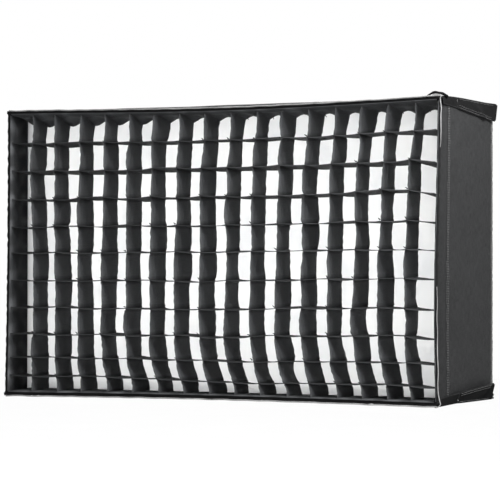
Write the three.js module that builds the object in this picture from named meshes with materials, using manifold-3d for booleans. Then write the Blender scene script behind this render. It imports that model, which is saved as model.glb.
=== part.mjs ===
// Rectangular fold-flat softbox with a fabric egg-crate grid, for a flat light panel.
// Millimetres. +X right, +Y towards the light panel, +Z up. The origin is the centre of the rear mouth,
// so the rear plane is y = 0 and the front opening faces -Y at y = -DEPTH.

import * as THREE from "three";
import { mergeVertices } from "three/addons/utils/BufferGeometryUtils.js";
import Module from "manifold-3d";

const wasm = await Module();
wasm.setup();

// ---- driving dimensions ----

const HALF_WIDTH = 368; // outer face of the side walls
const HALF_HEIGHT = 225; // outer face of the top and bottom walls
const DEPTH = 220; // front plane to rear plane
const OVERHANG = 1.8; // the top and bottom walls reach this far past the side walls' faces
const GAP = 0.3; // between neighbouring pieces

const COVER = 0.9; // outer fabric
const BOARD = 1.6; // stiffener board inside a wall
const LINING = 0.6; // reflective cloth
const TAPE = 0.6; // hook tape and loop tape
const BOARD_MARGIN = 1.5; // the board and the lining stop short of a wall's ends

const RIM_DEPTH = 62; // front band that the grid and the diffuser sit in
const RIM_BAND = 4.5; // padded fabric of the rim
const SLEEVE_RADIUS = 3; // hem sleeve along the front edge
const SLEEVE_BORE = 2.5;
const ROD_RADIUS = 1.5; // glass-fibre rod in the sleeve
const ROD_END = 9; // from a rod's end to the corner's centre
const ELBOW_RADIUS = 2.2;
const ELBOW_BORE = 1.7;
const ELBOW_LEG = 26;
const ELBOW_SOCKET = 19;
const PIPING_RADIUS = 1.1;
const GUSSET = 2.2; // corner fabric of the rim, part of it in a side band's padding
const GUSSET_FRONT = 2; // its upper corner behind the front plane
const GUSSET_SLANT = 7; // its lower corner behind the front plane

const GRID_FRONT = 1; // grid's front edge behind the front plane
const GRID_DEPTH = 51;
const GRID_COLUMNS = 17;
const GRID_ROWS = 11;
const GRID_FABRIC = 1;
const DIFFUSER_FRONT = 54; // diffuser's front face behind the front plane
const DIFFUSER_CLOTH = 0.8;
const DIFFUSER_BORDER = 12; // width of its doubled border
const DIFFUSER_LIP = 5; // depth of the border's turned-back edge
const GRID_TAPE_FRONT = 12; // hook tape round the grid, behind the front plane
const GRID_TAPE_REAR = 50;

const WALL_FRONT = 64; // walls start this far behind the front plane
const FOLD_LINE = 63; // and fold about this line
const HEM_DEPTH = 9; // elastic hem along a wall's rear edge

const WING = 1; // fabric of a wing
const WING_FRONT = 66;
const WING_REAR = 221;
const WING_NOSE = 11; // width of the wing's outline at the front plane
const WING_WIDTH = 27; // and at the rear
const WING_CHAMFER = [8, 20]; // cut off the rear end beside the hinge, along and across
const WING_TAPE_FRONT = 100;
const WING_TAPE_REAR = 210;
const WING_TAPE_INSET = 5; // hinge line to the hook tape
const WING_TAPE_MARGIN = 3; // hook tape to the free edge
const LOWER_WING_SPLAY = 14; // degrees that the lower wings hang open

const TAB_WIDTH = 50;
const TAB_LENGTH = 66;
const TAB = 1.4;
const TAB_CORNER = 8;
const TAB_X = 205; // middle of the box to a tab's centre line

// ---- worked out from them ----

const FRONT_Y = -DEPTH;
const WALL = COVER + GAP + BOARD + GAP + LINING;
const OVERHANG_X = HALF_WIDTH + OVERHANG;
const SIDE_HALF_LENGTH = HALF_HEIGHT - RIM_BAND - GAP; // side pieces fit under the top and bottom ones
const SLEEVE_X = HALF_WIDTH - SLEEVE_RADIUS;
const SLEEVE_Y = FRONT_Y + SLEEVE_RADIUS;
const SLEEVE_Z = HALF_HEIGHT - SLEEVE_RADIUS;
const LINER_INSET = 2 * SLEEVE_RADIUS + GAP; // what slides in clears the sleeves
const LINER_X = HALF_WIDTH - LINER_INSET - TAPE - GAP; // outer face of the grid's and diffuser's borders
const LINER_Z = HALF_HEIGHT - LINER_INSET - TAPE - GAP;

const SIDES = [
  { name: "top", turn: 0, reach: HALF_HEIGHT, half: OVERHANG_X, corner: SLEEVE_X, long: true },
  { name: "right", turn: 90, reach: HALF_WIDTH, half: SIDE_HALF_LENGTH, corner: SLEEVE_Z, long: false },
  { name: "bottom", turn: 180, reach: HALF_HEIGHT, half: OVERHANG_X, corner: SLEEVE_X, long: true },
  { name: "left", turn: 270, reach: HALF_WIDTH, half: SIDE_HALF_LENGTH, corner: SLEEVE_Z, long: false },
];

const CORNERS = [
  { name: "top_right", x: 1, z: 1, turn: 0, splay: 0 },
  { name: "bottom_right", x: 1, z: -1, turn: 90, splay: LOWER_WING_SPLAY },
  { name: "bottom_left", x: -1, z: -1, turn: 180, splay: LOWER_WING_SPLAY },
  { name: "top_left", x: -1, z: 1, turn: 270, splay: 0 },
];

const LOOKS = {
  fabric: { color: 0x1f1f21, roughness: 0.85, metalness: 0 },
  gridFabric: { color: 0x161618, roughness: 0.9, metalness: 0 },
  piping: { color: 0xa4a4a6, roughness: 0.7, metalness: 0 },
  tape: { color: 0x0e0e10, roughness: 0.95, metalness: 0 },
  silver: { color: 0xc8cacc, roughness: 0.35, metalness: 0.2 },
  white: { color: 0xf2f2f0, roughness: 0.8, metalness: 0 },
  board: { color: 0x2c2c2e, roughness: 0.6, metalness: 0 },
  rod: { color: 0xd8d4c4, roughness: 0.4, metalness: 0 },
  plastic: { color: 0x111111, roughness: 0.45, metalness: 0 },
};

// ---- helpers ----

// The same closed surface as a solid that can be joined and cut.
function toSolid(geometry) {
  const plain = geometry.clone();
  plain.deleteAttribute("normal");
  plain.deleteAttribute("uv");
  const merged = mergeVertices(plain, 1e-4);
  const vertProperties = new Float32Array(merged.attributes.position.array);
  const triVerts = new Uint32Array(merged.index.array);
  return new wasm.Manifold(new wasm.Mesh({ numProp: 3, vertProperties, triVerts }));
}

function toGeometry(solid) {
  const mesh = solid.getMesh();
  const geometry = new THREE.BufferGeometry();
  geometry.setAttribute("position", new THREE.BufferAttribute(mesh.vertProperties, 3));
  geometry.setIndex(new THREE.BufferAttribute(mesh.triVerts, 1));
  return geometry;
}

function joined(geometries) {
  const solids = geometries.map(toSolid);
  return toGeometry(solids.reduce((whole, piece) => whole.add(piece)));
}

function cut(geometry, cutters) {
  const solids = cutters.map(toSolid);
  return toGeometry(solids.reduce((rest, cutter) => rest.subtract(cutter), toSolid(geometry)));
}

function part(name, geometry, look) {
  const mesh = new THREE.Mesh(geometry, new THREE.MeshStandardMaterial(LOOKS[look]));
  mesh.name = name;
  return mesh;
}

// A box between two corners.
function box(low, high) {
  const size = high.map((value, i) => value - low[i]);
  const middle = high.map((value, i) => (value + low[i]) / 2);
  return new THREE.BoxGeometry(...size).translate(...middle);
}

// An outline in (y, z), pulled along X.
function pulledAlongX(outline, lowX, highX) {
  const geometry = new THREE.ExtrudeGeometry(outline, {
    depth: highX - lowX,
    bevelEnabled: false,
    curveSegments: 8,
  });
  const axes = new THREE.Matrix4().makeBasis(
    new THREE.Vector3(0, 1, 0),
    new THREE.Vector3(0, 0, 1),
    new THREE.Vector3(1, 0, 0),
  );
  return geometry.applyMatrix4(axes).translate(lowX, 0, 0);
}

// An outline in (x, z), pulled along Y.
function pulledAlongY(outline, lowY, highY) {
  const geometry = new THREE.ExtrudeGeometry(outline, {
    depth: highY - lowY,
    bevelEnabled: false,
    curveSegments: 4,
  });
  return geometry.rotateX(Math.PI / 2).translate(0, highY, 0);
}

function polygon(points) {
  return new THREE.Shape(points.map(([a, b]) => new THREE.Vector2(a, b)));
}

function rectangle(halfX, halfZ) {
  return [
    [-halfX, -halfZ],
    [halfX, -halfZ],
    [halfX, halfZ],
    [-halfX, halfZ],
  ];
}

// A rectangular ring round the box's axis, a given thickness in from its outer size.
function ring(halfX, halfZ, thickness, lowY, highY) {
  const outline = polygon(rectangle(halfX, halfZ));
  outline.holes.push(polygon(rectangle(halfX - thickness, halfZ - thickness)));
  return pulledAlongY(outline, lowY, highY);
}

// A round bar along X between two places.
function barAlongX(radius, lowX, highX, sides) {
  const bar = new THREE.CylinderGeometry(radius, radius, highX - lowX, sides);
  return bar.rotateZ(Math.PI / 2).translate((lowX + highX) / 2, 0, 0);
}

// A side's own group: pieces are made as for the top and turned round the box's axis.
function sideGroup(side) {
  const group = new THREE.Group();
  group.rotation.y = THREE.MathUtils.degToRad(side.turn);
  return group;
}

// Width of the triangular wings' outline, a distance behind the front plane.
function wingWidth(behindFront) {
  return WING_NOSE + ((WING_WIDTH - WING_NOSE) * behindFront) / DEPTH;
}

// ---- front rim ----

// Padded strip with a round sleeve along its front edge, as an outline in (y, z).
function bandOutline(reach) {
  const meetAngle = Math.asin((RIM_BAND - SLEEVE_RADIUS) / SLEEVE_RADIUS);
  const centreZ = reach - SLEEVE_RADIUS;
  const rearY = FRONT_Y + RIM_DEPTH;
  const outline = new THREE.Shape();
  outline.moveTo(rearY, reach);
  outline.lineTo(rearY, reach - RIM_BAND);
  outline.absarc(SLEEVE_Y, centreZ, SLEEVE_RADIUS, -meetAngle, -1.5 * Math.PI, true);
  const bore = new THREE.Path();
  bore.absarc(SLEEVE_Y, centreZ, SLEEVE_BORE, 0, 2 * Math.PI, false);
  outline.holes.push(bore);
  return outline;
}

// Corner fabric on a side band, which carries a wing's outline on to the front plane, where it is cut at a slant.
function gusset(direction) {
  const place = (behindFront, across) => [direction * across, FRONT_Y + behindFront];
  const outline = polygon([
    place(GUSSET_FRONT, SIDE_HALF_LENGTH),
    place(RIM_DEPTH, SIDE_HALF_LENGTH),
    place(RIM_DEPTH, HALF_HEIGHT - wingWidth(RIM_DEPTH)),
    place(GUSSET_SLANT, HALF_HEIGHT - wingWidth(GUSSET_SLANT)),
  ]);
  const patch = new THREE.ExtrudeGeometry(outline, { depth: GUSSET, bevelEnabled: false });
  return patch.translate(0, 0, OVERHANG_X - GUSSET);
}

// Room in a sleeve's end for the elbow's other leg: a long sleeve keeps its outer half there.
function elbowRoom(side, direction) {
  const near = side.long ? HALF_WIDTH - LINER_INSET : side.corner - ELBOW_RADIUS - GAP;
  const far = side.half + 1;
  const [lowX, highX] = direction > 0 ? [near, far] : [-far, -near];
  const highZ = side.long ? SLEEVE_Z : side.reach + 1;
  const low = [lowX, FRONT_Y - 1, side.reach - 2 * SLEEVE_RADIUS - 1];
  return box(low, [highX, FRONT_Y + LINER_INSET, highZ]);
}

function rimBand(side) {
  const strip = pulledAlongX(bandOutline(side.reach), -side.half, side.half);
  const band = cut(strip, [elbowRoom(side, 1), elbowRoom(side, -1)]);
  const whole = side.long ? band : joined([band, gusset(1), gusset(-1)]);
  return part(`${side.name}_rim_band`, whole, "fabric");
}

function rimRod(side) {
  const half = side.corner - ROD_END;
  const rod = barAlongX(ROD_RADIUS, -half, half, 12);
  return part(`${side.name}_rim_rod`, rod.translate(0, SLEEVE_Y, side.reach - SLEEVE_RADIUS), "rod");
}

function rimPiping(side) {
  const half = Math.min(side.half, HALF_WIDTH);
  const piping = barAlongX(PIPING_RADIUS, -half, half, 10);
  piping.translate(0, FRONT_Y, side.reach); // its centre line is the box's front edge
  return part(`${side.name}_edge_piping`, piping, "piping");
}

// Loop tape on a folded facing strip, level with the sleeve's inner side.
function rimLoopTape(side) {
  const half = side.corner - SLEEVE_RADIUS - GAP;
  const low = [-half, FRONT_Y + LINER_INSET + GAP, side.reach - 2 * SLEEVE_RADIUS];
  const high = [half, FRONT_Y + RIM_DEPTH - 1, side.reach - RIM_BAND - GAP];
  return part(`${side.name}_rim_loop_tape`, box(low, high), "tape");
}

// Moulded elbow that joins two rods: legs along -X and -Z, each with a blind socket.
function rimElbow(corner) {
  const sides = 14;
  const leg = () => barAlongX(ELBOW_RADIUS, -ELBOW_LEG, 0, sides);
  const socket = () => barAlongX(ELBOW_BORE, -ELBOW_LEG - 1, ELBOW_SOCKET - ELBOW_LEG, sides);
  const quarter = -Math.PI / 2;
  const knuckle = new THREE.SphereGeometry(ELBOW_RADIUS, sides, sides);
  const body = joined([leg(), leg().rotateY(quarter), knuckle]);
  const elbow = part(`${corner.name}_rim_elbow`, cut(body, [socket(), socket().rotateY(quarter)]), "plastic");
  elbow.position.set(corner.x * SLEEVE_X, SLEEVE_Y, corner.z * SLEEVE_Z);
  elbow.rotation.y = THREE.MathUtils.degToRad(corner.turn);
  return elbow;
}

function frontRim() {
  const rim = new THREE.Group();
  for (const side of SIDES) {
    const group = sideGroup(side);
    group.add(rimBand(side), rimRod(side), rimPiping(side), rimLoopTape(side));
    rim.add(group);
  }
  for (const corner of CORNERS) rim.add(rimElbow(corner));
  return rim;
}

// ---- egg-crate grid ----

// Crossing fabric strips, all sewn together where they meet.
function gridStrips() {
  const halfX = LINER_X - GRID_FABRIC - GAP;
  const halfZ = LINER_Z - GRID_FABRIC - GAP;
  const half = GRID_FABRIC / 2;
  const lowY = FRONT_Y + GRID_FRONT;
  const highY = lowY + GRID_DEPTH;
  const strips = [];
  for (let i = 1; i < GRID_COLUMNS; i++) {
    const x = halfX * ((2 * i) / GRID_COLUMNS - 1);
    strips.push(box([x - half, lowY, -halfZ], [x + half, highY, halfZ]));
  }
  for (let i = 1; i < GRID_ROWS; i++) {
    const z = halfZ * ((2 * i) / GRID_ROWS - 1);
    strips.push(box([-halfX, lowY, z - half], [halfX, highY, z + half]));
  }
  return part("grid_strips", joined(strips), "gridFabric");
}

function grid() {
  const group = new THREE.Group();
  const lowY = FRONT_Y + GRID_FRONT;
  const border = ring(LINER_X, LINER_Z, GRID_FABRIC, lowY, lowY + GRID_DEPTH);
  const [tapeX, tapeZ] = [LINER_X + GAP + TAPE, LINER_Z + GAP + TAPE];
  const tape = ring(tapeX, tapeZ, TAPE, FRONT_Y + GRID_TAPE_FRONT, FRONT_Y + GRID_TAPE_REAR);
  group.add(gridStrips());
  group.add(part("grid_border", border, "gridFabric"));
  group.add(part("grid_hook_tape", tape, "tape"));
  return group;
}

// ---- front diffuser ----

function diffuser() {
  const group = new THREE.Group();
  const frontY = FRONT_Y + DIFFUSER_FRONT;
  const hemY = frontY + DIFFUSER_CLOTH + GAP;
  const cloth = box([-LINER_X, frontY, -LINER_Z], [LINER_X, frontY + DIFFUSER_CLOTH, LINER_Z]);
  const border = joined([
    ring(LINER_X, LINER_Z, DIFFUSER_BORDER, hemY, hemY + DIFFUSER_CLOTH),
    ring(LINER_X, LINER_Z, DIFFUSER_CLOTH, hemY, hemY + DIFFUSER_LIP),
  ]);
  const tape = ring(LINER_X + GAP + TAPE, LINER_Z + GAP + TAPE, TAPE, frontY, hemY + DIFFUSER_LIP);
  group.add(part("diffuser_cloth", cloth, "white"));
  group.add(part("diffuser_border", border, "white"));
  group.add(part("diffuser_hook_tape", tape, "tape"));
  return group;
}

// ---- walls ----

// Flat layer of a wall, between two depths below its outer face.
function wallLayer(name, side, half, outer, inner, look) {
  const low = [-half, FRONT_Y + WALL_FRONT, side.reach - inner];
  const high = [half, -HEM_DEPTH - GAP, side.reach - outer];
  return part(`${side.name}_wall_${name}`, box(low, high), look);
}

function rearHem(side, half) {
  const low = [-half, -HEM_DEPTH, side.reach - WALL];
  return part(`${side.name}_rear_hem`, box(low, [half, 0, side.reach]), "fabric");
}

// Strap that turns in behind the light panel, hinged at the rear hem's outer edge.
function holdingTab(name, side, x) {
  const half = TAB_WIDTH / 2;
  const top = side.reach - GAP;
  const end = side.reach - TAB_LENGTH;
  const outline = new THREE.Shape();
  outline.moveTo(x - half, top);
  outline.lineTo(x - half, end + TAB_CORNER);
  outline.quadraticCurveTo(x - half, end, x - half + TAB_CORNER, end);
  outline.lineTo(x + half - TAB_CORNER, end);
  outline.quadraticCurveTo(x + half, end, x + half, end + TAB_CORNER);
  outline.lineTo(x + half, top);
  return part(name, pulledAlongY(outline, GAP, GAP + TAB), "fabric");
}

function wall(side) {
  const group = sideGroup(side);
  const half = side.half;
  const innerHalf = half - BOARD_MARGIN;
  const boardAt = COVER + GAP;
  const liningAt = boardAt + BOARD + GAP;
  group.add(wallLayer("cover", side, half, 0, COVER, "fabric"));
  group.add(wallLayer("board", side, innerHalf, boardAt, boardAt + BOARD, "board"));
  group.add(wallLayer("lining", side, innerHalf, liningAt, liningAt + LINING, "silver"));
  group.add(rearHem(side, half));
  if (side.long) {
    // The bottom's group is turned half round, so its left is the box's right.
    const [minus, plus] = side.turn === 0 ? ["left", "right"] : ["right", "left"];
    group.add(holdingTab(`${side.name}_${minus}_holding_tab`, side, -TAB_X));
    group.add(holdingTab(`${side.name}_${plus}_holding_tab`, side, TAB_X));
  }
  return group;
}

// ---- corner wings ----

// Hook tape's and loop tape's outline, inside the wing's.
function wingTapeOutline(down) {
  const place = (behindFront, across) => [FRONT_Y + behindFront, down * across];
  return polygon([
    place(WING_TAPE_FRONT, WING_TAPE_INSET),
    place(WING_TAPE_REAR, WING_TAPE_INSET),
    place(WING_TAPE_REAR, wingWidth(WING_TAPE_REAR) - WING_TAPE_MARGIN),
    place(WING_TAPE_FRONT, wingWidth(WING_TAPE_FRONT) - WING_TAPE_MARGIN),
  ]);
}

function wingOutline(down) {
  const place = (behindFront, across) => [FRONT_Y + behindFront, down * across];
  const [chamferAlong, chamferAcross] = WING_CHAMFER;
  return polygon([
    place(WING_FRONT, 0),
    place(WING_REAR - chamferAlong, 0),
    place(WING_REAR, chamferAcross),
    place(WING_REAR, wingWidth(WING_REAR)),
    place(WING_FRONT, wingWidth(WING_FRONT)),
  ]);
}

// A sheet beside the hinge line, between two distances outwards from it.
function wingSheet(outline, corner, inner, outer) {
  const [low, high] = corner.x > 0 ? [inner, outer] : [-outer, -inner];
  return pulledAlongX(outline, low, high);
}

// Triangular flap with hook tape, hinged along the side edge of the top or bottom wall.
function wing(corner) {
  const down = -corner.z;
  const hinge = new THREE.Group();
  hinge.position.set(corner.x * (OVERHANG_X + GAP), 0, corner.z * HALF_HEIGHT);
  hinge.rotation.y = THREE.MathUtils.degToRad(corner.x * corner.z * -corner.splay);
  const flap = wingSheet(wingOutline(down), corner, 0, WING);
  const tape = wingSheet(wingTapeOutline(down), corner, -GAP - TAPE, -GAP);
  hinge.add(part(`${corner.name}_wing`, flap, "fabric"));
  hinge.add(part(`${corner.name}_wing_hook_tape`, tape, "tape"));
  return hinge;
}

// Loop tape on a side wall, which the wing's hook tape closes on.
function wingLoopTape(corner) {
  const tape = wingSheet(wingTapeOutline(-corner.z), corner, GAP, GAP + TAPE);
  const mesh = part(`${corner.name}_wing_loop_tape`, tape, "tape");
  mesh.position.set(corner.x * HALF_WIDTH, 0, corner.z * HALF_HEIGHT);
  return mesh;
}

// ---- assembly ----

const softbox = new THREE.Group();
softbox.add(frontRim(), grid(), diffuser());
for (const side of SIDES) softbox.add(wall(side));
for (const corner of CORNERS) softbox.add(wing(corner), wingLoopTape(corner));

export default softbox;
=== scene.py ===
"""Looks of a rectangular fold-flat softbox with a fabric egg-crate grid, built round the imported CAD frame.

Metres, in the row frame: +X right, +Y towards the light panel, +Z up, origin at the centre of the rear mouth.
"""

import math

import bmesh
import bpy
import numpy as np
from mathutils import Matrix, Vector


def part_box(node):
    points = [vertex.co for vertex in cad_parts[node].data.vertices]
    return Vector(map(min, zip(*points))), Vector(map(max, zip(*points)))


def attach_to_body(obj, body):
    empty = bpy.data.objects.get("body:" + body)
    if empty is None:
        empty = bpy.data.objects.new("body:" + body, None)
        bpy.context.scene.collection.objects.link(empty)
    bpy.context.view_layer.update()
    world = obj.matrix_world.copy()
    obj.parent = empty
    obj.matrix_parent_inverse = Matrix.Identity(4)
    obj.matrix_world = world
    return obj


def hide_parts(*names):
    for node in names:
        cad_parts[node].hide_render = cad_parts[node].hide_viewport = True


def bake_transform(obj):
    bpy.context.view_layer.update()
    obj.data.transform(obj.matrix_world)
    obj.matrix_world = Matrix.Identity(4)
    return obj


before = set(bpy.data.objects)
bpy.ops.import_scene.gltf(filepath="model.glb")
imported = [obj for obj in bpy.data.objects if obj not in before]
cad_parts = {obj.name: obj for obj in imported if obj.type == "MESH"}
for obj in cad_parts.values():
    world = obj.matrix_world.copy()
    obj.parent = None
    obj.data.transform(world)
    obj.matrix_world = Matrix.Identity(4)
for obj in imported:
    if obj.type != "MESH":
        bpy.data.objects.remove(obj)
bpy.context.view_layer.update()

MM = 0.001


def middle_and_half(node, axis):
    """A CAD node's middle along an axis, and half its length."""
    low, high = (corner[axis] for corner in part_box(node))
    return (low + high) / 2, (high - low) / 2


# ---- driving places, from the frame ----

HALF_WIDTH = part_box("right_wall_cover")[1].x
HALF_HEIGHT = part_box("top_wall_cover")[1].z
LONG_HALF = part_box("top_wall_cover")[1].x
SIDE_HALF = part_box("right_wall_cover")[1].z
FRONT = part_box("top_rim_band")[0].y
RIM_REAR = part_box("top_rim_band")[1].y
RIM_DEPTH = RIM_REAR - FRONT
DEPTH = -FRONT
WALL_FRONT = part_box("top_wall_lining")[0].y
WALL_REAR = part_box("top_wall_lining")[1].y
LINING_HALF_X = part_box("top_wall_lining")[1].x
LINING_HALF_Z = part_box("right_wall_lining")[1].z
LINING_DEPTH = HALF_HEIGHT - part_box("top_wall_lining")[1].z
HEM_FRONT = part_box("top_rear_hem")[0].y
WALL = HALF_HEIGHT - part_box("top_rear_hem")[0].z
GRID_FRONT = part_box("grid_border")[0].y
GRID_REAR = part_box("grid_border")[1].y
LINER_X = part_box("grid_border")[1].x
LINER_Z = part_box("grid_border")[1].z
STRIP_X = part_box("grid_strips")[1].x
STRIP_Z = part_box("grid_strips")[1].z
CLOTH_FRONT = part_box("diffuser_cloth")[0].y
WING_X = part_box("top_right_wing")[0].x
WING_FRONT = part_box("top_right_wing")[0].y
WING_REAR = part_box("top_right_wing")[1].y
WING_REAR_WIDTH = 2 * middle_and_half("top_right_wing", 2)[1]
TAB_X, TAB_HALF = middle_and_half("top_right_holding_tab", 0)
ROD_Z, ROD = middle_and_half("top_rim_rod", 2)
SLEEVE = HALF_HEIGHT - ROD_Z  # radius of the rim's hem sleeve, with the rod in its middle
LOOP_TAPE = [HALF_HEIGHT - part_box("top_rim_loop_tape")[i].z for i in (1, 0)]  # depths below the outer face

# ---- sizes of the cloth pieces ----

COVER = 0.9 * MM
LINING = 0.6 * MM
SEAM = 31 * MM  # cover's front seam behind the front plane
PIPING = 1.05 * MM
WING = 1 * MM
WING_NOSE = 11 * MM
WING_SPLAY = 14  # degrees that the lower wings hang open
WING_CUT = 8 * MM  # length of the cut beside the hinge at a wing's rear end
SLANT_SHARE = 9 / 11  # share of a slanted end's depth that comes off the wing's flat length
DROOP = 2.2 * MM  # the soft front rim hangs lower than the walls by this
RACK = 2.2 * MM  # the soft front rim hangs a little out of square: its top goes right by this
COLUMNS = 17
ROWS = 11
BACK_SHIFT = 4.4 * MM  # back edges of the uprights at the left go left by this
LEVEL_TWIST = 5.4 * MM  # back edges of the upper level strips hang down by this
LOW_TWIST = -1.4 * MM  # and those of the lower ones
STRIP = 1.0 * MM
TAPE = 0.6 * MM

# Of each side: its turn from the top one, how far out its face is, half its length, how far the grid pulls
# its rim in, where along it and how sharply, and how far the grid border's front edge turns out over the rim.
SIDES = {
    "top": dict(turn=0, reach=HALF_HEIGHT, half=LONG_HALF, bow=6.2 * MM, peak=0.55, sharp=1, lip=2.6 * MM),
    "right": dict(turn=90, reach=HALF_WIDTH, half=SIDE_HALF, bow=3.4 * MM, peak=0.63, sharp=1.5, lip=4 * MM),
    "bottom": dict(turn=180, reach=HALF_HEIGHT, half=LONG_HALF, bow=2.6 * MM, peak=0.5, sharp=1, lip=1.6 * MM),
    "left": dict(turn=270, reach=HALF_WIDTH, half=SIDE_HALF, bow=1.4 * MM, peak=0.5, sharp=1, lip=1.6 * MM),
}
LONG_SIDES = ("top", "bottom")
CORNERS = {"top_right": (1, 1), "bottom_right": (1, -1), "bottom_left": (-1, -1), "top_left": (-1, 1)}


# ---- helpers: fields and shapes ----


def ripple(seed, u, v, length, waves=7):
    """Smooth random field over u and v, mostly from -1 to 1, with ripples about length apart."""
    rng = np.random.default_rng(seed)
    total = 0.0 * (u + v)
    for _ in range(waves):
        angle = rng.uniform(0, 2 * math.pi)
        pitch = length * rng.uniform(0.7, 1.5)
        phase = rng.uniform(0, 2 * math.pi)
        total = total + np.sin(2 * math.pi * (u * math.cos(angle) + v * math.sin(angle)) / pitch + phase)
    return total / math.sqrt(waves)


def smooth(low, high, value):
    """0 at low, 1 at high, with a soft start and end."""
    t = np.clip((value - low) / (high - low), 0, 1)
    return t * t * (3 - 2 * t)


def bump_at(value, centre, width):
    """1 at the centre, falling off like a bell."""
    return np.exp(-(((value - centre) / width) ** 2))


def place(side, s, y, out):
    """Points of a side: s along it, y in depth, out from its outer face. Made for the top and turned."""
    facts = SIDES[side]
    s, y, out = np.broadcast_arrays(np.asarray(s, float), np.asarray(y, float), np.asarray(out, float))
    z = facts["reach"] + out
    turn = math.radians(facts["turn"])
    c, q = math.cos(turn), math.sin(turn)
    return np.stack([s * c + z * q, y, z * c - s * q], -1)


def settled(points):
    """Where points of a straight-edged box go once the grid pulls the front rim's rods inwards."""
    moved = np.array(points, float)
    x, y, z = np.moveaxis(points, -1, 0)
    front = np.clip((RIM_REAR - y) / RIM_DEPTH, 0, 1) ** 1.2
    down = np.clip((HALF_HEIGHT - z) / (2 * HALF_HEIGHT), 0, 1)
    across = np.clip((x + HALF_WIDTH) / (2 * HALF_WIDTH), 0, 1)

    def arch(t, peak):
        return np.sin(math.pi * t ** (math.log(0.5) / math.log(peak))) ** 1.1

    near_x = smooth(0.72 * HALF_WIDTH, 0.96 * HALF_WIDTH, np.abs(x))
    near_z = smooth(0.6 * HALF_HEIGHT, 0.94 * HALF_HEIGHT, np.abs(z))
    for side, axis, sign in (("right", 0, 1), ("left", 0, -1), ("top", 2, 1), ("bottom", 2, -1)):
        facts = SIDES[side]
        along, near = (down, near_x) if axis == 0 else (across, near_z)
        pulled = arch(along, facts["peak"]) ** facts["sharp"] * (sign * points[..., axis] > 0)
        moved[..., axis] -= sign * facts["bow"] * front * near * pulled
    moved[..., 0] += RACK * front * z / HALF_HEIGHT
    moved[..., 2] -= DROOP * front
    return moved


def normals_of(points):
    """Unit normals of a grid of points."""
    along = np.gradient(points, axis=1)
    across = np.gradient(points, axis=0)
    normal = np.cross(along, across)
    return normal / np.maximum(np.linalg.norm(normal, axis=-1, keepdims=True), 1e-12)


def lengths(points, axis):
    """Running length along one axis of a grid of points, as the mean of its lines."""
    step = np.linalg.norm(np.diff(points, axis=axis), axis=-1).mean(axis=1 - axis)
    return np.concatenate([[0], np.cumsum(step)])


def slab_parts(points, thickness):
    """Vertices, faces, cloth coordinates and edge distances of a closed cloth under a grid of points."""
    rows, cols = points.shape[:2]
    inner = points - normals_of(points) * np.asarray(thickness)
    vertices = np.concatenate([points.reshape(-1, 3), inner.reshape(-1, 3)])
    top = np.arange(rows * cols).reshape(rows, cols)
    low = top + rows * cols
    outer = np.stack([top[:-1, :-1], top[:-1, 1:], top[1:, 1:], top[1:, :-1]], -1).reshape(-1, 4)
    under = np.stack([low[:-1, :-1], low[1:, :-1], low[1:, 1:], low[:-1, 1:]], -1).reshape(-1, 4)
    faces = outer.tolist() + under.tolist()
    loop = list(top[0, :]) + list(top[1:, -1]) + list(top[-1, -2::-1]) + list(top[-2:0:-1, 0])
    count = rows * cols
    for a, b in zip(loop, loop[1:] + loop[:1]):
        faces.append([b, a, a + count, b + count])
    u = np.broadcast_to(lengths(points, 1)[None, :], (rows, cols))
    v = np.broadcast_to(lengths(points, 0)[:, None], (rows, cols))
    uv = np.stack([u, v], -1).reshape(-1, 2)
    edge = np.minimum(np.minimum(u, u.max() - u), np.minimum(v, v.max() - v)).ravel()
    return vertices, faces, np.concatenate([uv, uv]), np.concatenate([edge, edge])


def tube_parts(rings):
    """The same for a closed tube through rings of points, capped at both ends."""
    count, around = rings.shape[:2]
    index = np.arange(count * around).reshape(count, around)
    following = np.roll(index, -1, axis=1)
    faces = np.stack([index[:-1], following[:-1], following[1:], index[1:]], -1).reshape(-1, 4).tolist()
    faces += [index[0][::-1].tolist(), index[-1].tolist()]
    closed = np.concatenate([rings, rings[:, :1]], axis=1)
    u = np.broadcast_to(lengths(rings, 0)[:, None], (count, around))
    v = np.broadcast_to(lengths(closed, 1)[None, :-1], (count, around))
    uv = np.stack([u, v], -1).reshape(-1, 2)
    return rings.reshape(-1, 3), faces, uv, np.full(count * around, 0.1)


def joined(name, parts, material):
    """A mesh of closed shapes, with cloth coordinates and distances to the cloth's edge, in metres."""
    faces = []
    start = 0
    for vertices, part_faces, _, _ in parts:
        faces += [[start + int(i) for i in face] for face in part_faces]
        start += len(vertices)
    mesh = bpy.data.meshes.new(name)
    mesh.from_pydata(np.concatenate([part[0] for part in parts]).tolist(), [], faces)
    uv = np.concatenate([part[2] + [0.013 * n, 0.007 * n] for n, part in enumerate(parts)]).astype(np.float32)
    index = np.zeros(len(mesh.loops), np.int32)
    mesh.loops.foreach_get("vertex_index", index)
    mesh.uv_layers.new(name="UVMap").data.foreach_set("uv", uv[index].ravel())
    edge = np.concatenate([part[3] for part in parts]).astype(np.float32)
    mesh.attributes.new("edge", "FLOAT", "POINT").data.foreach_set("value", edge)
    shape = bmesh.new()
    shape.from_mesh(mesh)
    bmesh.ops.recalc_face_normals(shape, faces=shape.faces)
    shape.to_mesh(mesh)
    shape.free()
    mesh.polygons.foreach_set("use_smooth", np.ones(len(mesh.polygons), bool))
    mesh.set_sharp_from_angle(angle=math.radians(50))
    mesh.materials.append(material)
    piece = bpy.data.objects.new(name, mesh)
    bpy.context.scene.collection.objects.link(piece)
    return piece


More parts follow.
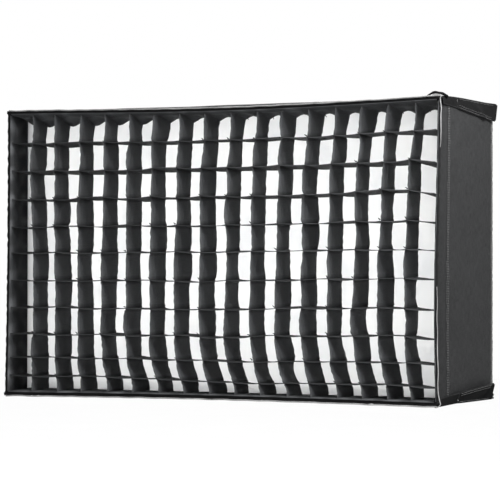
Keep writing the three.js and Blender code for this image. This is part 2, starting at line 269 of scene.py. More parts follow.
def cord_rings(path, radius, around=10):
    """Rings of a round cord along a path of points."""
    path = np.asarray(path, float)
    tangent = np.gradient(path, axis=0)
    tangent /= np.linalg.norm(tangent, axis=1, keepdims=True)
    guide = np.array([0.0, 1.0, 0.0])
    if np.abs(tangent @ guide).max() > 0.9:
        guide = np.array([1.0, 0.3, 0.2])
    one = np.cross(tangent, guide)
    one /= np.linalg.norm(one, axis=1, keepdims=True)
    two = np.cross(tangent, one)
    angle = np.linspace(0, 2 * math.pi, around, endpoint=False)
    radius = np.broadcast_to(radius, len(path))[:, None, None]
    return path[:, None] + radius * (
        one[:, None] * np.cos(angle)[None, :, None] + two[:, None] * np.sin(angle)[None, :, None]
    )


def curve_through(points, step=1.5 * MM):
    """A smooth path through a few points, as evenly spaced points."""
    points = np.asarray(points, float)
    ends = np.concatenate([[2 * points[0] - points[1]], points, [2 * points[-1] - points[-2]]])
    path = []
    for a, b, c, d in zip(ends, ends[1:], ends[2:], ends[3:]):
        count = max(2, int(np.linalg.norm(c - b) / step))
        for t in np.linspace(0, 1, count, endpoint=False):
            bend = (2 * a - 5 * b + 4 * c - d) * t**2 + (3 * b - a - 3 * c + d) * t**3
            path.append(0.5 * (2 * b + (c - a) * t + bend))
    return np.array(path + [points[-1]])


def stitch_parts(path, up, pitch=3.6 * MM, share=0.68, width=0.42 * MM, height=0.34 * MM):
    """Running stitches along a path on a surface whose outward direction is up."""
    path = np.asarray(path, float)
    run = np.concatenate([[0], np.cumsum(np.linalg.norm(np.diff(path, axis=0), axis=1))])
    starts = np.arange(0.5 * pitch, run[-1] - pitch, pitch)
    up = np.broadcast_to(np.asarray(up, float), path.shape)

    def at(values, where):
        return np.stack([np.interp(where, run, values[:, k]) for k in range(3)], -1)

    vertices, faces = [], []
    for n, start in enumerate(starts):
        a, m, b = at(path, np.array([start, start + share * pitch / 2, start + share * pitch]))
        lift = at(up, np.array([start]))[0]
        along = (b - a) / np.linalg.norm(b - a)
        side = np.cross(along, lift)
        ring = [m + side * width, m + lift * height * 1.6, m - side * width, m - lift * height * 0.4]
        vertices += [a + lift * height * 0.2, *ring, b + lift * height * 0.2]
        k = 6 * n
        for i in range(4):
            j = (i + 1) % 4
            faces += [[k, k + 1 + i, k + 1 + j], [k + 5, k + 1 + j, k + 1 + i]]
    vertices = np.array(vertices)
    return vertices, faces, vertices[:, :2], np.full(len(vertices), 0.1)


def outward_of(side):
    """The direction straight out of a side."""
    return place(side, 0, 0, 1.0) - place(side, 0, 0, 0.0)


def attach(piece, body, stands_for=None):
    """The piece rides on a body, and may stand for a CAD node."""
    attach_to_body(piece, body)
    if stands_for:
        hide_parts(stands_for)


# ---- materials ----


class Shader:
    """A Principled material and short calls for the nodes that feed it."""

    def __init__(self, name, **settings):
        self.material = bpy.data.materials.new(name)
        self.material.use_nodes = True
        self.tree = self.material.node_tree
        self.main = self.tree.nodes["Principled BSDF"]
        for socket, value in settings.items():
            self.set(self.main.inputs[socket.replace("_", " ")], value)

    def set(self, socket, value):
        if isinstance(value, bpy.types.NodeSocket):
            self.tree.links.new(value, socket)
        elif socket.type == "RGBA" and not hasattr(value, "__len__"):
            socket.default_value = (value, value, value, 1)
        elif socket.type == "RGBA":
            socket.default_value = (*value, 1)[:4]
        else:
            socket.default_value = value

    def node(self, kind, values=(), output=0, **settings):
        made = self.tree.nodes.new("ShaderNode" + kind)
        for name, value in settings.items():
            setattr(made, name, value)
        for key, value in dict(values).items():
            self.set(made.inputs[key], value)
        return made.outputs[output]

    def math(self, operation, a, b=0.0):
        return self.node("Math", {0: a, 1: b}, operation=operation)

    def scaled(self, vector, factors):
        return self.node("VectorMath", {0: vector, 1: factors}, operation="MULTIPLY")

    def axes(self, vector):
        split = self.tree.nodes.new("ShaderNodeSeparateXYZ")
        self.set(split.inputs[0], vector)
        return split.outputs

    def cloth(self):
        """Cloth coordinates in metres."""
        return self.node("UVMap", uv_map="UVMap")

    def place(self):
        """The place in the object's own, unmoving frame, in metres."""
        return self.tree.nodes.new("ShaderNodeTexCoord").outputs["Object"]

    def noise(self, vector, pitch, detail=3.0, roughness=0.55):
        """From 0 to 1, with blotches about pitch across."""
        return self.node(
            "TexNoise", {"Vector": vector, "Scale": 1 / pitch, "Detail": detail, "Roughness": roughness}
        )

    def wave(self, value, pitch):
        return self.math("SINE", self.math("MULTIPLY", value, 2 * math.pi / pitch))

    def weave(self, vector, pitch):
        """From 0 to 1, high on the crowns of a plain weave."""
        crowns = self.math("MULTIPLY", *(self.wave(value, pitch) for value in self.axes(vector)[:2]))
        return self.math("ADD", self.math("MULTIPLY", crowns, 0.5), 0.5)

    def ribs(self, value, pitch):
        """From 0 to 1, high on ribs across the value's direction."""
        return self.math("ADD", self.math("MULTIPLY", self.wave(value, pitch), 0.5), 0.5)

    def spread(self, value, low, high, to_low=0.0, to_high=1.0):
        """The value's place from low to high, as a place from to_low to to_high."""
        return self.node(
            "MapRange",
            {"Value": value, "From Min": low, "From Max": high, "To Min": to_low, "To Max": to_high},
        )

    def mottled(self, cloud, a, b):
        """Colour a to b by a cloud of noise."""
        return self.mix(self.spread(cloud, 0.3, 0.7), a, b)

    def mix(self, share, a, b):
        made = self.tree.nodes.new("ShaderNodeMix")
        made.data_type = "RGBA"
        self.set(made.inputs[0], share)
        self.set(made.inputs[6], a)
        self.set(made.inputs[7], b)
        return made.outputs[2]

    def bump(self, height, distance, strength=1.0, under=None):
        made = self.tree.nodes.new("ShaderNodeBump")
        self.set(made.inputs["Height"], height)
        made.inputs["Distance"].default_value = distance
        made.inputs["Strength"].default_value = strength
        if under is not None:
            self.set(made.inputs["Normal"], under)
        return made.outputs[0]

    def edge(self):
        """Distance to the cloth's edge in metres, or below zero where the cloth is marked with painted shade.
        """
        return self.node("Attribute", output=2, attribute_name="edge")

    def finish(self, color=None, roughness=None, normal=None):
        if color is not None:
            self.set(self.main.inputs["Base Color"], color)
        if roughness is not None:
            self.set(self.main.inputs["Roughness"], roughness)
        if normal is not None:
            self.set(self.main.inputs["Normal"], normal)
        return self.material


def grey(value, tint=0.0):
    """A grey in linear light, slightly blue for a positive tint."""
    return (value * (1 - tint), value, value * (1 + 1.6 * tint), 1)


def woven(
    name, tone, specular, pitch=0.6 * MM, tint=0.03, blotch=45 * MM, crease=0.35 * MM,
    edge_tone=1.5, roughness=0.7, slub=0.3,
):
    """Plain-weave cloth: yarns, faint blotches, shallow creases, a lint bloom, a band along the edges (paler
    from wear on the covers, a painted highlight on the wings, darker on the grid cloth) and painted shade
    where the cloth is marked.
    """
    s = Shader(name, Specular_IOR_Level=specular)
    cloth = s.cloth()
    yarn = s.weave(cloth, pitch)
    cloud = s.noise(cloth, blotch, 4)
    lint = s.noise(cloth, 3.1 * MM, 5, 0.7)
    slubs = [s.noise(s.scaled(cloth, factors), 11 * MM, 4, 0.7) for factors in ((1, 7, 1), (7, 1, 1))]
    slubbed = s.math("ADD", *(s.spread(noise, 0.35, 0.65, -slub, slub) for noise in slubs))
    patchy = s.math("ADD", s.spread(cloud, 0.3, 0.7), slubbed)
    dark = s.mix(patchy, grey(tone * 0.8, tint), grey(tone * 1.2, tint))
    yarned = s.mix(s.math("MULTIPLY", yarn, 0.35), dark, grey(tone * 1.5, tint))
    linty = s.mix(s.spread(lint, 0.62, 0.8, 0, 0.3), yarned, grey(tone * 2.2, tint))
    # Edge band: paler from wear on the covers, a painted highlight on the wings, darker on the grid's cloth.
    edge_band = s.math("MULTIPLY", s.spread(s.edge(), 0.0, 1.6 * MM, 0.6, 0.0), s.spread(lint, 0.35, 0.65))
    pale = s.mix(edge_band, linty, grey(tone * edge_tone * 1.5, tint))
    # Painted shade: where the cloth is marked below zero, its colour goes towards a dark grey.
    color = s.mix(s.spread(s.edge(), -1.0, 0.0, 0.85, 0.0), pale, grey(tone * 0.2, tint))
    rough = s.spread(cloud, 0.3, 0.7, roughness - 0.06, roughness + 0.08)
    folds = s.bump(s.noise(cloth, 26 * MM, 3), crease)
    fine = s.bump(yarn, 0.12 * MM, 0.8, folds)
    return s.finish(color, rough, fine)


def ribbed(name, tone, pitch, roughness=0.75, relief=0.25 * MM):
    """Narrow elastic, webbing or thread, with ribs across its length."""
    s = Shader(name, Specular_IOR_Level=0.25)
    cloth = s.cloth()
    x, y = s.axes(cloth)[:2]
    rib = s.ribs(x, pitch)
    cloud = s.noise(cloth, 12 * MM, 4)
    base = s.mottled(cloud, grey(tone * 0.8), grey(tone * 1.2))
    color = s.mix(s.math("MULTIPLY", rib, 0.45), base, grey(tone * 1.9))
    rough = s.spread(cloud, 0.3, 0.7, roughness - 0.07, roughness + 0.07)
    yarn = s.bump(s.ribs(y, pitch * 0.6), relief * 0.4)
    return s.finish(color, rough, s.bump(rib, relief, 1, yarn))


def fuzzy_tape(name, tone, pitch, relief, hooks):
    """Loop tape's matted pile, or hook tape's rows of small hooks, from the place in the frame."""
    s = Shader(name, Specular_IOR_Level=0.15)
    where = s.place()
    pile = s.node("TexVoronoi", {"Vector": where, "Scale": 1 / pitch}, feature="F1" if hooks else "SMOOTH_F1")
    cloud = s.noise(where, 9 * MM, 4)
    base = s.mottled(cloud, grey(tone * 0.7), grey(tone * 1.25))
    color = s.mix(s.spread(pile, 0.0, 0.7, 0.5, 0.0), base, grey(tone * (2.4 if hooks else 1.7)))
    height = s.math("SUBTRACT", 1.0, pile)
    return s.finish(color, s.spread(cloud, 0.3, 0.7, 0.8, 0.95), s.bump(height, relief))


def diffuser_look(name, share):
    """White nylon diffusion cloth, which lets a share of the light panel's light through."""
    s = Shader(name, Specular_IOR_Level=0.1)
    cloth = s.place() if name == "diffuser_hem" else s.cloth()
    yarn = s.weave(cloth, 0.8 * MM)
    cloud = s.noise(cloth, 70 * MM, 3)
    white = s.mottled(cloud, (0.86, 0.865, 0.87), (0.92, 0.92, 0.915))
    color = s.mix(s.math("MULTIPLY", yarn, 0.25), white, (0.96, 0.96, 0.955))
    normal = s.bump(yarn, 0.1 * MM, 0.7, s.bump(s.noise(cloth, 30 * MM, 3), 0.5 * MM))
    s.finish(color, s.spread(cloud, 0.3, 0.7, 0.75, 0.85), normal)
    through = s.tree.nodes.new("ShaderNodeBsdfTranslucent")
    s.set(through.inputs["Color"], color)
    s.set(through.inputs["Normal"], normal)
    blend = s.tree.nodes.new("ShaderNodeMixShader")
    blend.inputs[0].default_value = share
    s.tree.links.new(s.main.outputs[0], blend.inputs[1])
    s.tree.links.new(through.outputs[0], blend.inputs[2])
    out = next(n for n in s.tree.nodes if n.type == "OUTPUT_MATERIAL")
    s.tree.links.new(blend.outputs[0], out.inputs[0])
    return s.material


def lining_look():
    """Silvered cloth with a soft gleam and fine crumples."""
    s = Shader("silver_lining", Metallic=0.75, Specular_IOR_Level=0.5)
    cloth = s.cloth()
    crumple = s.node("TexVoronoi", {"Vector": cloth, "Scale": 1 / (22 * MM)}, feature="SMOOTH_F1")
    yarn = s.weave(cloth, 0.7 * MM)
    cloud = s.noise(cloth, 60 * MM, 4)
    base = s.mottled(cloud, (0.72, 0.725, 0.73), (0.81, 0.815, 0.82))
    color = s.mix(s.math("MULTIPLY", yarn, 0.25), base, (0.87, 0.87, 0.87))
    normal = s.bump(yarn, 0.08 * MM, 0.6, s.bump(crumple, 0.9 * MM))
    return s.finish(color, s.spread(cloud, 0.3, 0.7, 0.34, 0.48), normal)


def board_look():
    """Grey stiffener board with a fine grain."""
    s = Shader("stiffener_board", Specular_IOR_Level=0.35)
    where = s.place()
    grain = s.noise(where, 1.2 * MM, 6, 0.7)
    cloud = s.noise(where, 35 * MM, 3)
    color = s.mix(s.spread(grain, 0.35, 0.7), grey(0.018), grey(0.035))
    return s.finish(color, s.spread(cloud, 0.3, 0.7, 0.5, 0.65), s.bump(grain, 0.15 * MM))


def rod_look():
    """Pultruded glass fibre: a fine pale grain under a resin gloss."""
    s = Shader("glass_fibre_rod", Specular_IOR_Level=0.5, Coat_Weight=0.3, Coat_Roughness=0.2)
    where = s.place()
    grain = s.noise(where, MM / 1.2, 5, 0.6)
    color = s.mix(s.spread(grain, 0.35, 0.65), (0.52, 0.50, 0.42), (0.70, 0.68, 0.60))
    return s.finish(color, s.spread(grain, 0.3, 0.7, 0.3, 0.45), s.bump(grain, 0.05 * MM))


def plastic_look():
    """Moulded elbow: fine spark-eroded grain."""
    s = Shader("elbow_plastic", Specular_IOR_Level=0.45)
    where = s.place()
    grain = s.noise(where, 0.6 * MM, 4, 0.7)
    scuff = s.noise(where, 7 * MM, 5, 0.7)
    color = s.mix(s.spread(scuff, 0.55, 0.75, 0, 0.5), grey(0.010), grey(0.03))
    return s.finish(color, s.spread(scuff, 0.3, 0.7, 0.35, 0.55), s.bump(grain, 0.08 * MM))


def piping_look():
    """Pale reflective piping: fine diagonal yarns, dulled by dirt."""
    s = Shader("edge_piping", Specular_IOR_Level=0.35)
    cloth = s.cloth()
    x, y = s.axes(cloth)[:2]
    twist = s.ribs(s.math("ADD", x, s.math("MULTIPLY", y, 0.8)), 1.1 * MM)
    dirt = s.noise(cloth, 34 * MM, 5, 0.65)
    base = s.mix(s.spread(dirt, 0.36, 0.62), grey(0.05), grey(0.17))
    color = s.mix(s.math("MULTIPLY", twist, 0.4), base, grey(0.24))
    return s.finish(color, s.spread(dirt, 0.3, 0.7, 0.45, 0.7), s.bump(twist, 0.2 * MM))


LOOK = {
    "outer_fabric": woven(
        "outer_fabric", 0.0120, specular=0.02, pitch=0.9 * MM, tint=0.015, crease=2.4 * MM, slub=1.2
    ),
    "rim_fabric": woven(
        "rim_fabric", 0.0112, specular=0.02, pitch=0.9 * MM, tint=0.015, crease=0.8 * MM, slub=0.7
    ),
    # The wings' strongly paler edge band is a painted highlight, where the light catches the cut edges and
    # folds.
    "wing_fabric": woven(
        "wing_fabric", 0.0052, specular=0, pitch=1.1 * MM, tint=0.01, crease=1.2 * MM,
        edge_tone=3.4, roughness=0.85,
    ),
    "grid_fabric": woven("grid_fabric", 0.042, specular=0.08, blotch=30 * MM, edge_tone=0.4),
    # The border's cloth is the grid's black cloth painted lighter, standing in for light on the top border's
    # facets; painted-shade marks darken its other sides.
    "border_fabric_painted_light": woven("border_fabric_painted_light", 0.070, specular=0.05, blotch=24 * MM, edge_tone=0.4),
    "hem_elastic": ribbed("hem_elastic", 0.020, 1.6 * MM),
    "strap_webbing": ribbed("strap_webbing", 0.018, 1.2 * MM, relief=0.35 * MM),
    "edge_piping": piping_look(),
    "loop_tape": fuzzy_tape("loop_tape", 0.012, 0.9 * MM, 0.3 * MM, hooks=False),
    "hook_tape": fuzzy_tape("hook_tape", 0.014, 1.5 * MM, 0.5 * MM, hooks=True),
    "diffuser_cloth": diffuser_look("diffuser_cloth", 0.5),
    "diffuser_hem": diffuser_look("diffuser_hem", 0.95),
    "silver_lining": lining_look(),
    "stiffener_board": board_look(),
    "glass_fibre_rod": rod_look(),
    "elbow_plastic": plastic_look(),
    "thread": ribbed("thread", 0.075, 0.5 * MM, roughness=0.6),
    "black_thread": ribbed("black_thread", 0.008, 0.5 * MM, roughness=0.7),
}


# ---- camera, lights and floor ----


def add_camera():
    data = bpy.data.cameras.new("camera")
    data.lens = 168.5
    data.sensor_width = 36
    data.clip_end = 60
    camera = bpy.data.objects.new("camera", data)
    camera.location = (1.612, -3.374, -0.046)
    camera.rotation_euler = [math.radians(a) for a in (90.765, -0.09, 26.16)]
    bpy.context.scene.collection.objects.link(camera)
    bpy.context.scene.camera = camera


def add_light(name, location, target, size, power):
    data = bpy.data.lights.new(name, "AREA")
    data.shape = "RECTANGLE"
    data.size, data.size_y = size
    data.energy = power
    light = bpy.data.objects.new(name, data)
    light.location = location
    aim = Vector(target) - Vector(location)
    light.rotation_euler = aim.to_track_quat("-Z", "Y").to_euler()
    light.visible_camera = False
    bpy.context.scene.collection.objects.link(light)
    return light


def add_stage():
    world = bpy.data.worlds.new("studio")
    bpy.context.scene.world = world
    world.use_nodes = True
    world.node_tree.nodes["Background"].inputs[0].default_value = (1, 1, 1, 1)
    world.node_tree.nodes["Background"].inputs[1].default_value = 1.0
    bpy.context.scene.view_settings.view_transform = "Standard"
    bpy.ops.mesh.primitive_plane_add(size=30, location=(0, 0, -0.85))
    floor = bpy.context.object
    floor.name = "floor"
    s = Shader("floor", Roughness=0.9, Specular_IOR_Level=0.1)
    mottle = s.noise(s.place(), 0.4, 3)
    floor.data.materials.append(s.finish(s.mix(mottle, grey(0.965), grey(0.985))))
    add_light("key", (2.0, -2.4, 2.4), (0, 0, 0), (1.6, 1.2), 55)
    add_light("side", (0.85, -0.32, 0.75), (0.36, -0.12, 0.1), (0.25, 0.25), 28)
    add_light("fill", (1.0, -0.9, 1.0), (0.15, -0.2, 0.05), (0.4, 0.4), 22)
    add_light("top", (0.4, -0.2, 2.8), (0, 0, 0), (2.6, 2.6), 50)
    panel = add_light("panel", (0, -95 * MM, 0), (0, -1, 0), (0.71, 0.425), 2.6)
    panel.data.spread = math.radians(170)


add_camera()
add_stage()


# ---- walls: rim, cover, lining and hem of each side ----


def rim_section():
    """Section of the rim band: (behind the front plane, out from the outer face), once round."""
    outer = [(62, -1.05), (54, -1), (44, -1), (38, -1), (33, -1), (31.3, -0.97), (30.3, -0.15)]
    outer += [(22, -0.1), (17, -0.25), (13, -1), (10, -2.2), (7.5, -2.4)]
    inner = [(8.5, -4.6), (14, -4.4), (26, -4.5), (38, -4.4), (50, -4.5), (62, -4.4)]
    turn = np.radians(np.linspace(40, 325, 20))
    sleeve = [(3 + 3 * math.cos(a), -3 + 3 * math.sin(a)) for a in turn]
    return np.array(outer + sleeve + inner) * MM


def make_rim(side):
    """Padded band of the rim with the rolled hem along its front edge, gathered along the hem."""
    facts = SIDES[side]
    long = side in LONG_SIDES
    half = facts["half"]
    s = np.linspace(-half, half, 260 if long else 170)[:, None]
    v, out = rim_section().T[:, None, :]
    seed = 11 + facts["turn"]
    gather = 0.45 * MM * ripple(seed, s, v * 0.2, 11 * MM) * smooth(30 * MM, 3 * MM, v)
    slow = 0.7 * MM * ripple(seed + 1, s, v, 70 * MM) * smooth(40 * MM, 0, v)
    outward = np.minimum((out > -2 * MM) * (gather + 0.4 * slow), 0.3 * MM)
    # The hem swells and narrows along its length, and draws in at the ends of the long sides.
    slim = 0.76 if side == "right" else 1
    end = np.clip((np.abs(s) - (half - 4 * MM)) / (4 * MM), 0, 1)
    narrow = np.sqrt(1 - 0.75 * end**2) if long else 1
    swell = slim * (1 + 0.09 * ripple(seed + 2, s, v * 0, 16 * MM)) * narrow
    size = np.where(v < 2.1 * SLEEVE, swell, 1)
    behind, out = SLEEVE + (v - SLEEVE) * size, (out + SLEEVE) * size - SLEEVE
    points = place(side, s + 0 * v, FRONT + behind, out + outward)
    vertices, faces, uv, edge = tube_parts(settled(points))
    # Painted shade: on the top, bottom and left the hem and the front 13 to 18 mm of the band are marked dark,
    # for the shade along the rim's front; on the right only the front of the hem, and less dark.
    near, far, darkest = (3 * MM, 6 * MM, 0.7) if side == "right" else (13 * MM, 18 * MM, 1)
    dark = -darkest * smooth(far, near, (v + 0 * s).ravel())
    rim = joined(f"{side}_rim", [(vertices, faces, uv, np.where(dark < 0, dark, edge))], LOOK["rim_fabric"])
    attach(rim, "front_rim", f"{side}_rim_band")


def make_rod(side):
    """The rod in the hem, bowed with it."""
    node = f"{side}_rim_rod"
    half = middle_and_half(node, 0 if side in LONG_SIDES else 2)[1]
    path = settled(place(side, np.linspace(-half, half, 60), FRONT + SLEEVE, -SLEEVE))
    rod = joined(node + "_bowed", [tube_parts(cord_rings(path, ROD, 14))], LOOK["glass_fibre_rod"])
    attach(rod, "front_rim", node)


def make_piping(side):
    """Piping along the rim's front edge. On the side walls it sinks into the seam for part of the way."""
    long = side in LONG_SIDES
    half = HALF_WIDTH - 3 * MM if long else SIDE_HALF - 1 * MM
    s = np.linspace(-half, half, 150)
    wobble = 0.25 * MM * ripple(31 + SIDES[side]["turn"], s, 0 * s, 35 * MM)
    tucked = {"right": smooth(0.118, 0.082, np.abs(s + 0.05)), "left": 0.9 + 0 * s}.get(side, 0 * s)
    behind = -0.1 * MM + 0.6 * wobble + 4.2 * MM * tucked
    path = settled(place(side, s, FRONT + behind, 0.1 * MM + wobble - 3.0 * MM * tucked))
    radius = PIPING
    if side == "right":
        path = np.concatenate([corner_run(path[4])[::-1], path[4:-4], corner_run(path[-5])])
        radius = PIPING * (0.72 - 0.36 * smooth(-0.15, -0.05, path[:, 2]) * smooth(0.19, 0.13, path[:, 2]))
    piping = joined(f"{side}_piping", [tube_parts(cord_rings(path, radius))], LOOK["edge_piping"])
    attach(piping, "front_rim", f"{side}_edge_piping")


def corner_run(last):
    """The right piping's kinked way from its last point round a corner, on to the top or bottom edge."""
    up = 1 if last[2] > 0 else -1
    steps = [(0.6, 1.5, 0.0), (2.6, 4.2, 0.4), (0.8, 6.0, 0.4), (-4.5, 6.6, 1.4), (-12, 6.2, 2.2)]
    if up < 0:
        steps = [(0.3, 2.0, 0.0), (1.2, 5.0, 0.2), (-0.6, 8.0, 0.0), (-5.0, 10.2, 0.2), (-9, 9.4, 0.8)]
    edge_z = up * (HALF_HEIGHT - 7 * MM)
    points = [(HALF_WIDTH + dx * MM, FRONT + dy * MM, edge_z + up * dz * MM) for dx, dz, dy in steps]
    return curve_through([last, *points], 1.2 * MM)


def make_elbow(corner):
    """The moulded elbow that two rods' ends sit in, moved with the bowed rim."""
    node = f"{corner}_rim_elbow"
    low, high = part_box(node)
    radius = (high.y - low.y) / 2
    sign_x, sign_z = CORNERS[corner]
    near_x, far_x = sorted((low.x, high.x), key=abs)
    near_z, far_z = sorted((low.z, high.z), key=abs)
    x, z = far_x - sign_x * radius, far_z - sign_z * radius
    bend = np.radians(np.linspace(0, 90, 9))
    turn = 3.5 * MM
    arc = [(x - sign_x * turn * (1 - math.sin(a)), z - sign_z * turn * (1 - math.cos(a))) for a in bend]
    legs = [(near_x + (arc[0][0] - near_x) * t, z) for t in np.linspace(0, 1, 12, endpoint=False)]
    legs += arc
    legs += [(x, arc[-1][1] + (near_z - arc[-1][1]) * t) for t in np.linspace(0, 1, 13)[1:]]
    path = settled(np.array([(a, (low.y + high.y) / 2, b) for a, b in legs]))
    swell = radius * (1 + 0.05 * np.cos(np.linspace(0, 2 * math.pi, len(path))))
    elbow = joined(node + "_moved", [tube_parts(cord_rings(path, swell, 16))], LOOK["elbow_plastic"])
    attach(elbow, "front_rim", node)


def make_loop_tape(side):
    """The rim's loop tape, bowed with the rim."""
    node = f"{side}_rim_loop_tape"
    low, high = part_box(node)
    half = high.x if side in LONG_SIDES else high.z
    s = np.linspace(-half, half, 90)[None, :]
    y = np.linspace(low.y, high.y, 8)[:, None]
    points = settled(place(side, s, y, -LOOP_TAPE[0]))
    tape = joined(node + "_bowed", [slab_parts(points, LOOP_TAPE[1] - LOOP_TAPE[0])], LOOK["loop_tape"])
    attach(tape, "front_rim", node)


def cover_points(side, s, v):
    """Outer face of a side's cloth: v behind the front plane."""
    seed = 101 + SIDES[side]["turn"]
    half = SIDES[side]["half"]
    pad = smooth(0, 30 * MM, half - np.abs(s)) * smooth(220 * MM, 195 * MM, v)
    pull = smooth(SEAM, SEAM + 12 * MM, v)
    # Upright pulls fan out from the front seam, and broad slack shows over the board.
    fan = ripple(seed, s * 0.35, v, 46 * MM) * 0.5 + ripple(seed + 1, s * 0.12, v, 24 * MM) * 0.3
    broad = ripple(seed + 2, s, v, 160 * MM)
    puff = (1.5 * MM * fan * smooth(190 * MM, 30 * MM, v) + 0.45 * MM * broad) * (0.3 if side == "top" else 1)
    pucker = 0.28 * MM * ripple(seed + 3, s, v * 0.1, 13 * MM) * bump_at(v, SEAM + 2 * MM, 5 * MM)
    crown = (0.2 if side == "top" else 1.1) * MM * pad * pull
    out = crown + pad * puff * pull + pucker
    edge_roll = -0.5 * MM * smooth(2.5 * MM, 0, half - np.abs(s))
    return place(side, s, FRONT + v, out + edge_roll)


def make_cover(side):
    """Outer cloth of a wall, sewn to the rim in front and bent at the fold line."""
    half = SIDES[side]["half"]
    s = np.linspace(-half, half, 220 if side in LONG_SIDES else 150)[None, :]
    starts = (SEAM, RIM_DEPTH - 4 * MM, RIM_DEPTH + 6 * MM)
    rows = [np.linspace(a, b, count, endpoint=False) for a, b, count in zip(starts, starts[1:], (14, 9))]
    rows = np.concatenate([*rows, np.linspace(starts[-1], DEPTH - 5 * MM, 40)])
    points = settled(cover_points(side, s, rows[:, None]))
    cover = joined(f"{side}_cover", [slab_parts(points, COVER)], LOOK["outer_fabric"])
    fold(cover, side)
    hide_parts(f"{side}_wall_cover")
    make_seams(side, half)


def fold(piece, side):
    """The piece's transform is baked into its mesh; the ends of the side's fold line are worked out but not
    used.
    """
    start = place(side, 0, RIM_REAR - 2 * MM, 0)
    end = place(side, 0, WALL_FRONT + 4 * MM, 0)
    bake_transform(piece)


def make_seams(side, half):
    """Double seam along the cover's front edge and single ones along its ends."""
    out = outward_of(side)
    across = np.linspace(-half + 3 * MM, half - 3 * MM, 240)
    depth = np.linspace(SEAM + 8 * MM, DEPTH - 12 * MM, 120)
    seams = [(across, v + 0 * across) for v in (SEAM + 1.6 * MM, SEAM + 5.2 * MM)]
    seams += [(end * (half - 4 * MM) + 0 * depth, depth) for end in (-1, 1)]
    parts = [stitch_parts(settled(cover_points(side, s, v)) + out * 0.05 * MM, out) for s, v in seams]
    stitches = joined(f"{side}_cover_stitching", parts, LOOK["thread"])
    fold(stitches, side)


def rounded(turn):
    """Cosine and sine of a turn, squared up into a section with rounded corners."""
    wide, high = np.cos(turn), np.sin(turn)
    return np.sign(wide) * np.abs(wide) ** 0.45, np.sign(high) * np.abs(high) ** 0.45


def make_hem(side):
    """Elastic binding round the wall's rear edge, slightly gathered."""
    half = SIDES[side]["half"]
    s = np.linspace(-half, half, 260)[:, None]
    turn = np.linspace(0, 2 * math.pi, 28, endpoint=False)[None, :]
    wide, high = rounded(turn)
    gather = 0.22 * MM * ripple(301 + SIDES[side]["turn"], s, turn * 0.3 * MM, 7 * MM) * (np.abs(high) > 0.5)
    y = (HEM_FRONT - 1 * MM) / 2 * (1 - wide) + 0 * s
    out = -WALL / 2 + high * (WALL / 2 + 0.35 * MM + gather)
    if side in LONG_SIDES:  # pressed flat where the tabs are sewn on
        pressed = smooth(TAB_HALF + 6 * MM, TAB_HALF + 2 * MM, np.abs(np.abs(s) - TAB_X))
        out = np.minimum(out, 0.05 * MM + 0.8 * MM * (1 - pressed))
    end = np.clip((np.abs(s) - (half - 2 * MM)) / (2 * MM), 0, 1)
    out = -WALL / 2 + (out + WALL / 2) * (1 - 0.25 * end**2)
    hem = joined(f"{side}_hem", [tube_parts(place(side, s + 0 * turn, y, out))], LOOK["hem_elastic"])
    attach(hem, f"{side}_wall", f"{side}_rear_hem")
    across = np.linspace(-half + 3 * MM, half - 3 * MM, 200)
    rows = [place(side, across, -inset + 0 * across, 0.42 * MM) for inset in (7.2 * MM, 4.6 * MM)]
    parts = [stitch_parts(row, outward_of(side)) for row in rows]
    stitches = joined(f"{side}_hem_stitching", parts, LOOK["thread"])
    attach(stitches, f"{side}_wall")


def make_lining(side):
    """Silvered cloth inside a wall, a little slack away from its sewn edges."""
    long = side in LONG_SIDES
    half = LINING_HALF_X if long else LINING_HALF_Z
    s = np.linspace(-half, half, 170 if long else 110)[None, :]
    y = np.linspace(WALL_FRONT, WALL_REAR, 44)[:, None]
    seed = 401 + SIDES[side]["turn"]
    away = smooth(0, 10 * MM, y - WALL_FRONT) * smooth(0, 10 * MM, WALL_REAR - y)
    away = away * smooth(0, 14 * MM, half - np.abs(s))
    slack = (0.9 + 0.5 * ripple(seed, s, y, 42 * MM) + 0.35 * ripple(seed + 1, s, y * 0.5, 90 * MM)) * MM
    points = place(side, s, y, -LINING_DEPTH - LINING - away * np.clip(slack, 0, 2.4 * MM))
    # The reflective face looks inwards, so the grid of points is turned over.
    lining = joined(f"{side}_lining", [slab_parts(points[:, ::-1], LINING)], LOOK["silver_lining"])
    attach(lining, f"{side}_wall", f"{side}_wall_lining")


for corner in CORNERS:
    make_elbow(corner)
for side in SIDES:
    make_rim(side)
    make_rod(side)
    make_piping(side)
    make_loop_tape(side)
    make_cover(side)
    make_hem(side)
    make_lining(side)


# ---- corner fabric and wings ----


def wing_width(behind):
    """Width of a wing's outline at distances behind the front plane."""
    return WING_NOSE + (WING_REAR_WIDTH - WING_NOSE) * behind / DEPTH


def wing_points(corner, behind, across, base):
    """Points of a wing's plane: distances behind the front plane and across from the hinge line."""
    sign_x, sign_z = CORNERS[corner]
    splay = math.radians(WING_SPLAY) * smooth(20 * MM, 66 * MM, behind) if sign_z < 0 else 0 * behind
    seed = 501 + 7 * sign_x + 3 * sign_z
    share = across / wing_width(behind)
    wave = 1.1 * MM * ripple(seed, behind, across * 0.5, 60 * MM) * share
    crease_at = 122 * MM + 50 * MM * share if sign_z > 0 else 150 * MM + 34 * MM * share
    ridge = 2.6 * MM * np.exp(-np.abs(behind - crease_at) / (13 * MM)) * smooth(0.0, 0.6, share)
    hollow = -1.0 * MM * bump_at(behind, crease_at + 26 * MM, 16 * MM) * share
    lift = np.maximum(wave + ridge + hollow, -0.5 * MM) * smooth(64 * MM, 95 * MM, behind)
    drop = across * np.cos(splay)
    flare = 4.5 * MM * smooth(176 * MM, 218 * MM, behind) * (1 - 0.75 * share) * (sign_z > 0)
    out = base + across * np.sin(splay) + lift + flare
    return np.stack(np.broadcast_arrays(sign_x * out, FRONT + behind, sign_z * (HALF_HEIGHT - drop)), -1)


def upright(points, sign_x, sign_z):
    """The grid of points turned so that its normals look away from the box."""
    return points if sign_x * sign_z < 0 else points[:, ::-1]


